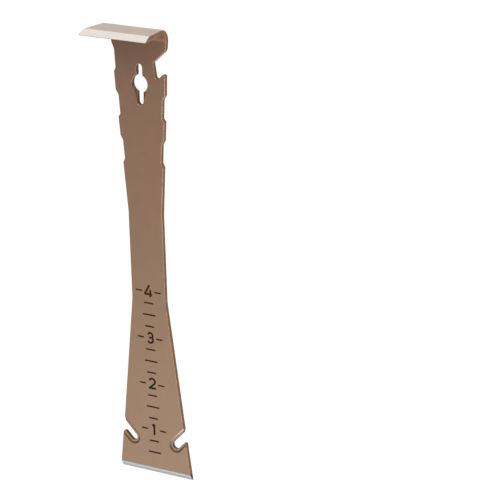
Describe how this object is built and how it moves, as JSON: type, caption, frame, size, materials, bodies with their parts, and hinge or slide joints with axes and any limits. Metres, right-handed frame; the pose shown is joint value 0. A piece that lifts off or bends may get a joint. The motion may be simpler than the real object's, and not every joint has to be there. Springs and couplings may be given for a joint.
{
  "type": "flat pry bar",
  "caption": "Flat steel pry bar with a ground chisel foot, slanted nail slots, notched edges, a side hook, a keyhole nail puller and a head bent at a right angle, with a printed inch scale.",
  "frame": {"origin": "centre of the bounding box's bottom face: on the flat back of the bar, midway along its length and across its width", "axes": "+Z out of the printed face, with the bar lying on its flat back; +Y along the bar from the chisel foot to the bent head; +X to the right when the printed face is read with the head at the top, the side the hook is on"},
  "size_m": [0.0438, 0.2406, 0.0251],
  "materials": {
    "coated_steel": "satin metallic bronze powder coat, with bare brushed steel on the two ground edges",
    "scale_ink": "matt dark brown ink"
  },
  "bodies": {
    "root": {"bar": "coated_steel", "tick_0_50in": "scale_ink", "tick_0_75in": "scale_ink", "dash_left_1in": "scale_ink", "numeral_1": "scale_ink", "dash_right_1in": "scale_ink", "tick_1_25in": "scale_ink", "tick_1_50in": "scale_ink", "tick_1_75in": "scale_ink", "dash_left_2in": "scale_ink", "numeral_2": "scale_ink", "dash_right_2in": "scale_ink", "tick_2_25in": "scale_ink", "tick_2_50in": "scale_ink", "tick_2_75in": "scale_ink", "dash_left_3in": "scale_ink", "numeral_3": "scale_ink", "dash_right_3in": "scale_ink", "tick_3_25in": "scale_ink", "tick_3_50in": "scale_ink", "tick_3_75in": "scale_ink", "dash_left_4in": "scale_ink", "numeral_4": "scale_ink", "dash_right_4in": "scale_ink"}
  },
  "joints": []
}
